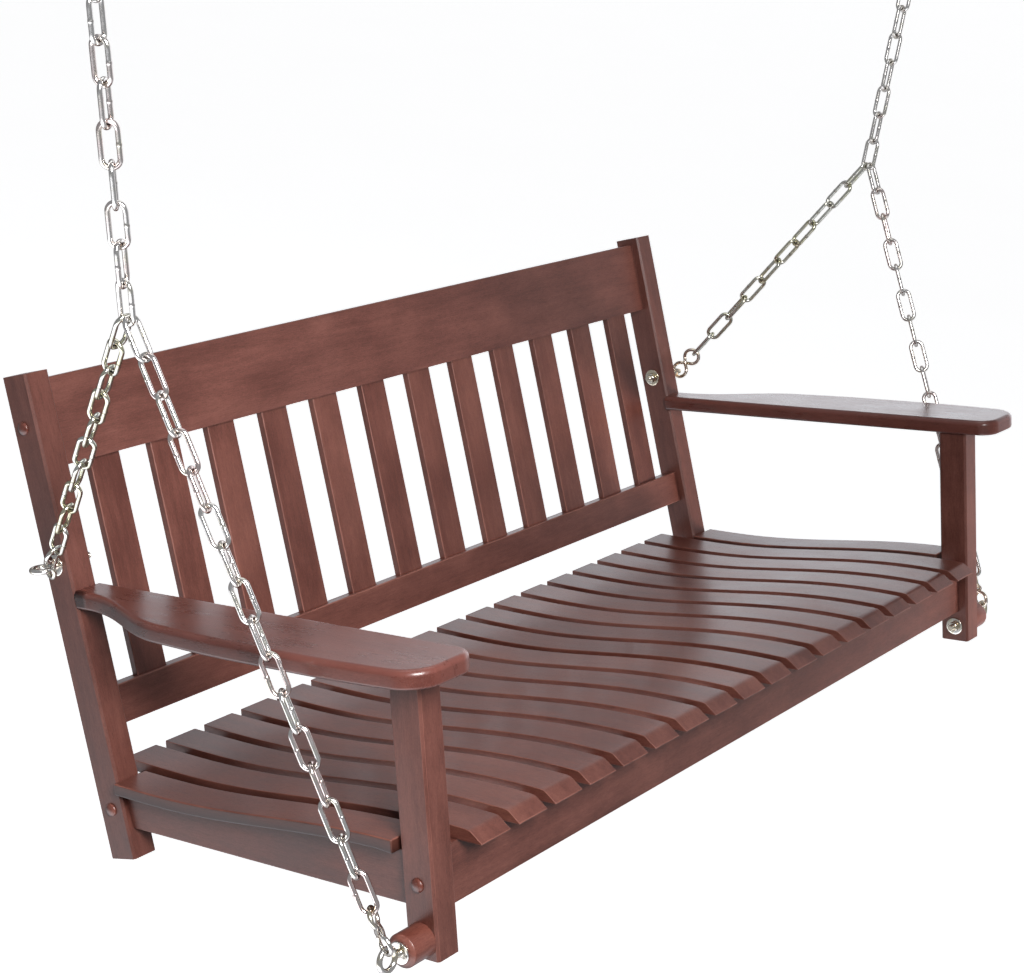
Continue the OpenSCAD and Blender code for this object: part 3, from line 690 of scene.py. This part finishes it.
def eight_set(name, node, J, E, u, n, turns):
    length = np.linalg.norm(E - J) - (n * PITCH + WIRE + PLAY) + (WIRE + EIGHT_W) / 2 + PLAY + (EIGHT_W + EYE_W) / 2 + PLAY
    top = J + u * (n * PITCH + WIRE + PLAY - (WIRE + EIGHT_W) / 2 - PLAY)
    geo = Geo()
    m = basis(u, 0)
    for k, s in enumerate((-1, 1)):
        v0, f0 = tube(eight(length, *turns[k]), EIGHT_W / 2, 16, closed=True)
        v = (v0 @ m.T + top) * [s, 1, 1]
        geo.add(hung(v), f0, v * 0.001 + [k * 0.9, 0.3, 0.1], 0.4 + 0.3 * k)
    return make(name, geo, EIGHT, "bench", [node])


eight_set("front_figure_eights", "front_connectors", JF, EF, UF, FRONT_N, ((30, 70), (-28, -70)))
eight_set("rear_figure_eights", "rear_connectors", JR, ER, UR, REAR_N, ((8, 80), (75, 95)))


# ---------------------------------------------------------------- eye bolts, washers, nuts
def threaded(z0, z1, r, pitch, depth, segs=32, per=10, tip=1.0, taper=0.0):
    """A threaded rod end about z from z0 to z1: a helical ridge, fading at both ends."""
    n = max(8, int((z1 - z0) / pitch * per))
    zs = np.linspace(z0, z1, n + 1)
    th = 2 * math.pi * np.arange(segs) / segs
    verts, faces = [], []
    for z in zs:
        ph = (z / pitch - th / (2 * math.pi)) % 1.0
        ridge = 1 - np.abs(2 * ph - 1)
        fade = min(1.0, (z - z0) / (0.8 * pitch), (z1 - z) / (0.8 * pitch) + 0.15)
        rr = r - taper * max(0.0, (z - z0) / (z1 - z0)) - depth * (1 - ridge ** 1.3) * max(0.0, fade)
        verts.append(np.stack([rr * np.cos(th), rr * np.sin(th), np.full(segs, z)], 1))
    verts = np.concatenate(verts)
    for j in range(n):
        for k in range(segs):
            faces.append((j * segs + k, j * segs + (k + 1) % segs, (j + 1) * segs + (k + 1) % segs, (j + 1) * segs + k))
    c0, c1 = len(verts), len(verts) + 1
    verts = np.concatenate([verts, [[0, 0, z0], [0, 0, z1]]])
    for k in range(segs):
        faces.append((c0, (k + 1) % segs, k))
        faces.append((c1, n * segs + k, n * segs + (k + 1) % segs))
    return verts, faces


def eye_set(name, node, c, flat):
    geo = Geo()
    a = np.linspace(0, 2 * math.pi, 64, endpoint=False)
    ring = np.stack([EYE_R * np.cos(a), EYE_R * np.sin(a), 0 * a], 1) if flat else np.stack([EYE_R * np.cos(a), 0 * a, EYE_R * np.sin(a)], 1)
    rv, rf = tube(ring, EYE_W / 2, 18, closed=True, start=(0, 0, 1) if flat else (0, 1, 0))
    x0 = INNER - WASH_T - NUT_H - 6
    x1 = c[0] - EYE_R
    prof = [(0, 12.5), (3.96, 12.5), (3.96, x1 - x0 - 7.6), (4.5, x1 - x0 - 5.6), (4.5, x1 - x0 - 4.4), (3.7, x1 - x0 - 2.9), (3.1, x1 - x0 - 1.2), (2.6, x1 - x0 + 0.6), (0, x1 - x0 + 1.0)]
    sv, sf = revolve(prof, 32)
    tv, tf = threaded(0, 13.0, 3.98, 1.25, 0.55)
    tv = tv.copy()
    low = tv[:, 2] < 0.9
    tv[low, :2] *= 0.86
    for k, s in enumerate((-1, 1)):
        for v, f in ((rv + c, rf), (outward(sv) + [x0, c[1], c[2]], sf), (outward(tv) + [x0, c[1], c[2]], tf)):
            geo.add(hung(v * [s, 1, 1]), f, v * 0.001 + [k * 1.1, 0.2, 0.5], 0.45 + 0.25 * k)
    return make(name, geo, EYE, "bench", [node])


eye_set("front_eyes", "front_eye_bolts", FRONT_EYE, False)
eye_set("rear_eyes", "rear_eye_bolts", REAR_EYE, True)

wash = Geo()
wv, wf = revolve(rounded([(4.2, 0, 0.2), (WASH_D / 2, 0, 0.5), (WASH_D / 2, WASH_T, 0.9), (4.2, WASH_T, 0.35)], 0.3, 4), 48, closed=True)
FE, RE = FRONT_EYE, REAR_EYE
for k, (x, c) in enumerate(((HALF + SPACER_L, FE), (INNER - WASH_T, FE), (HALF, RE), (INNER - WASH_T, RE))):
    v0 = wv.copy()
    if k % 2:
        v0[:, 2] = WASH_T - v0[:, 2]
    for s in (-1, 1):
        v = outward(v0) + [x, c[1], c[2]]
        wash.add(hung(v * [s, 1, 1]), wf, v * 0.001 + [k * 0.7 + s, 0.1, 0.9 * k], 0.35 + 0.1 * k + 0.12 * s)
make("washer_set", wash, EYE, "bench", ["eye_washers"])


def hex_nut(af, h, bore, segs=72):
    th = 2 * math.pi * np.arange(segs) / segs
    flat = af / 2 / np.cos((th + rad(30)) % rad(60) - rad(30))
    rows, faces = [], []
    cut = 1.15

    def row(r, z):
        rows.append(np.stack([r * np.cos(th), r * np.sin(th), np.full(segs, z) if np.isscalar(z) else z], 1))

    for z in (0.0, 0.25, 0.5, 0.8, cut):
        row(np.minimum(flat, af / 2 * 0.965 + z * 1.35), z)
    for z in (cut, 0.8, 0.5, 0.25, 0.0):
        row(np.minimum(flat, af / 2 * 0.965 + z * 1.35), h - z)
    row(np.full(segs, bore + 0.5), h)
    row(np.full(segs, bore), h - 0.5)
    row(np.full(segs, bore), 0.5)
    row(np.full(segs, bore + 0.5), 0.0)
    m = len(rows)
    for j in range(m):
        for k in range(segs):
            faces.append((j * segs + k, j * segs + (k + 1) % segs, ((j + 1) % m) * segs + (k + 1) % segs, ((j + 1) % m) * segs + k))
    return np.concatenate(rows), faces


nuts = Geo()
nv, nf = hex_nut(NUT_AF, NUT_H, 4.05)
for k, c in enumerate((FE, RE)):
    for s in (-1, 1):
        ang = rad(17 + 23 * k + 9 * s)
        v0 = nv @ np.array([[cos(ang), sin(ang), 0], [-sin(ang), cos(ang), 0], [0, 0, 1]])
        v = outward(v0) + [INNER - WASH_T - NUT_H, c[1], c[2]]
        nuts.add(hung(v * [s, 1, 1]), nf, v * 0.001 + [k * 0.7 + s, 0.6, 0.3], 0.4 + 0.1 * s)
make("nut_set", nuts, EYE, "bench", ["eye_nuts"], sharp=28)

# ---------------------------------------------------------------- ceiling hooks
for side, s in (("left", -1), ("right", 1)):
    geo = Geo()
    pts = [(SHX + HOOK_R * cos(rad(a)), 0, -DROP + HOOK_R * sin(rad(a))) for a in np.linspace(25, -232, 60)]
    a_end = rad(-232)
    p0 = np.array(pts[-1])
    t0 = unit([sin(a_end), 0, -cos(a_end)])
    p3 = np.array([SHX, 0, -8.5])
    p1, p2 = p0 + t0 * 5.5, p3 - np.array([0, 0, 6.5])
    for b in np.linspace(0, 1, 12)[1:]:
        pts.append(tuple((1 - b) ** 3 * p0 + 3 * (1 - b) ** 2 * b * p1 + 3 * (1 - b) * b * b * p2 + b ** 3 * p3))
    pts += [(SHX, 0, z) for z in (-6.5, -4.5, -1.0)]
    r = np.full(len(pts), HOOK_W / 2)
    r[-14:] = np.linspace(3.0, 3.8, 14)
    v, f = tube(pts, r, 18, start=(0, 1, 0))
    parts = [(v, f)]
    cv, cf = revolve(rounded([(3.2, -2.5, 0.3), (10, -2.5, 1.3), (10, 0, 0.5), (3.2, 0, 0.2)], 0.3, 4), 48, closed=True)
    parts.append((cv + [SHX, 0, 0], cf))
    tv, tf = threaded(3.0, SCREW_L - 9, 4.0, 3.0, 1.05, per=16)
    parts.append((tv + [SHX, 0, 0], tf))
    tv, tf = revolve([(0, -0.2), (3.95, -0.2), (3.95, 3.4), (2.9, 4.2), (0, 4.4)], 32)
    parts.append((tv + [SHX, 0, 0], tf))
    tv, tf = threaded(SCREW_L - 9.6, SCREW_L, 3.4, 3.0, 0.6, per=16, taper=3.0)
    parts.append((tv + [SHX, 0, 0], tf))
    for v, f in parts:
        geo.add(straight(v * [s, 1, 1]), f, v * 0.001 + [s, 0.3, 0.2], 0.5 + 0.1 * s)
    make(side + "_screw_hook", geo, HOOK, "ceiling_hooks", [side + "_ceiling_hook"])

# ---------------------------------------------------------------- fixings that stay as the CAD made them
for node in ("frame_bolts", "barrel_nuts", "arm_screws"):
    o = NODES[node]
    t = BOLT.copy()
    t.name = "bolt_steel_" + node
    for n in t.node_tree.nodes:
        if n.bl_idname == "ShaderNodeAttribute" and n.attribute_name == "grain":
            tc = t.node_tree.nodes.new("ShaderNodeTexCoord")
            for link in list(n.outputs["Vector"].links):
                t.node_tree.links.new(tc.outputs["Object"], link.to_socket)
    if not o.material_slots:
        o.data.materials.append(t)
    for s in o.material_slots:
        s.material = t

# ---------------------------------------------------------------- floor, light, camera
low = min(v[2] for v in cad_box)
FLOOR = low - 0.8
ft = Tree("floor")
fc = ft.new("ShaderNodeTexCoord").outputs["Object"]
fn = ft.noise(ft.scaled(fc, (1.3, 1.3, 1.3)), 3, 0.5)
ft.link(ft.ramp(fn, [(0.3, (0.90, 0.90, 0.895)), (0.7, (0.94, 0.94, 0.935))]), ft.bsdf.inputs["Base Color"])
ft.bsdf.inputs["Roughness"].default_value = 0.9
ft.bsdf.inputs["Emission Color"].default_value = (1, 1, 1, 1)
ft.bsdf.inputs["Emission Strength"].default_value = 0.85
ft.bsdf.inputs["Specular IOR Level"].default_value = 0.1
bm = bmesh.new()
bmesh.ops.create_grid(bm, x_segments=4, y_segments=4, size=30.0)
me = bpy.data.meshes.new("floor")
bm.to_mesh(me)
bm.free()
me.materials.append(ft.mat)
floor = bpy.data.objects.new("floor", me)
floor.location = (0, 0, FLOOR)
scene.collection.objects.link(floor)
floor.visible_diffuse = floor.visible_glossy = False

WALL, GROUND, FILL = 1.55, 3.0, 0.09
world = bpy.data.worlds.new("studio")
scene.world = world
world.use_nodes = True
wt = world.node_tree
wt.nodes.clear()
wo = wt.nodes.new("ShaderNodeOutputWorld")
bg = wt.nodes.new("ShaderNodeBackground")
bg2 = wt.nodes.new("ShaderNodeBackground")
mx = wt.nodes.new("ShaderNodeMixShader")
lp = wt.nodes.new("ShaderNodeLightPath")
wn = lambda kind, **kw: [(n, [setattr(n, k, v) for k, v in kw.items()])[0] for n in [wt.nodes.new(kind)]][0]


def wmap(v, lo, hi, a, b):
    m = wn("ShaderNodeMapRange", interpolation_type="SMOOTHSTEP")
    wt.links.new(v, m.inputs[0])
    for k, x in zip((1, 2, 3, 4), (lo, hi, a, b)):
        m.inputs[k].default_value = x
    return m.outputs[0]


def wop(op, a, b):
    m = wn("ShaderNodeMath", operation=op)
    for k, x in enumerate((a, b)):
        if isinstance(x, (int, float)):
            m.inputs[k].default_value = x
        else:
            wt.links.new(x, m.inputs[k])
    return m.outputs[0]


# the studio as the swing sees it: a bright wall at the back right, a pale floor on the left, dim elsewhere
sep = wn("ShaderNodeSeparateXYZ")
wt.links.new(wn("ShaderNodeTexCoord").outputs["Generated"], sep.inputs[0])
toward = wop("ADD", wop("MULTIPLY", sep.outputs["X"], 0.97), wop("MULTIPLY", sep.outputs["Y"], 0.24))
wall = wop("MULTIPLY", wmap(toward, 0.66, 0.98, 0.0, 1.0), wmap(sep.outputs["Z"], 0.28, 0.54, 1.0, 0.15))
wall = wop("MULTIPLY", wall, wmap(sep.outputs["Z"], -0.4, 0.0, 0.2, 1.0))
ground = wop("MULTIPLY", wmap(sep.outputs["Z"], -0.60, -0.38, 1.0, 0.0), wmap(sep.outputs["X"], -0.7, 0.1, 1.0, 0.12))
glint = wop("ADD", wop("MULTIPLY", lp.outputs["Is Glossy Ray"], 0.88), 0.12)
light = wop("ADD", wop("MULTIPLY", wall, WALL), wop("MULTIPLY", wop("MULTIPLY", ground, glint), GROUND))
fill_in = wop("ADD", wop("MULTIPLY", lp.outputs["Is Glossy Ray"], 0.22), FILL)
wt.links.new(wop("ADD", light, fill_in), bg.inputs["Strength"])
bg.inputs["Color"].default_value = (0.93, 0.95, 1.0, 1)
bg2.inputs["Color"].default_value = (1, 1, 1, 1)
bg2.inputs["Strength"].default_value = 1.0
wt.links.new(lp.outputs["Is Camera Ray"], mx.inputs[0])
wt.links.new(bg.outputs[0], mx.inputs[1])
wt.links.new(bg2.outputs[0], mx.inputs[2])
wt.links.new(mx.outputs[0], wo.inputs[0])


def area(name, loc, target, size, power, colour=(1, 1, 1), spread=180):
    d = bpy.data.lights.new(name, "AREA")
    d.shape = "RECTANGLE"
    d.size, d.size_y = size
    d.energy = power
    d.color = colour
    d.spread = rad(spread)
    o = bpy.data.objects.new(name, d)
    o.location = loc
    o.rotation_mode = "QUATERNION"
    o.rotation_quaternion = (Vector(target) - Vector(loc)).to_track_quat("-Z", "Y")
    scene.collection.objects.link(o)
    return o


area("key_soft", (-1.45, -1.5, 0.55), (-0.66, 0.1, -0.74), (0.9, 0.9), 17, (1, 0.985, 0.985), spread=80)
fill = area("low_fill", (1.5, -1.5, -1.1), (0.62, 0, -0.9), (0.6, 0.5), 2.7, (1, 0.97, 0.95), spread=44)
fill.visible_glossy = False
area("top_soft", (0.1, 0.5, 1.9), (0, 0.1, -0.8), (2.4, 1.6), 13)

AZ, EL, ROLL = -0.900457049, 0.227953797, -0.0616964417
FOCAL_PX = 2124.52914
back = np.array([sin(AZ) * cos(EL), -cos(AZ) * cos(EL), sin(EL)])
fwd = -back
right = unit(np.cross(fwd, [0, 0, 1]))
upv = np.cross(right, fwd)
R = cos(ROLL) * right + sin(ROLL) * upv
U = -sin(ROLL) * right + cos(ROLL) * upv
where = hung(np.array([[-2050.05489, -1277.89127, 923.774822]]))[0]
spin_m = np.array([[1, 0, 0], [0, cos(TILT), sin(TILT)], [0, -sin(TILT), cos(TILT)]])
R, U, back = spin_m @ R, spin_m @ U, spin_m @ back
cd = bpy.data.cameras.new("camera")
cd.sensor_width = 36.0
cd.lens = FOCAL_PX / 1024 * 36.0
cd.clip_start, cd.clip_end = 0.05, 200
cam = bpy.data.objects.new("camera", cd)
cam.matrix_world = Matrix([[R[0], U[0], back[0], where[0]], [R[1], U[1], back[1], where[1]], [R[2], U[2], back[2], where[2]], [0, 0, 0, 1]])
scene.collection.objects.link(cam)
scene.camera = cam
scene.view_settings.view_transform = "Standard"
scene.view_settings.look = "None"
scene.view_settings.exposure = 0.0
scene.view_settings.gamma = 1.0
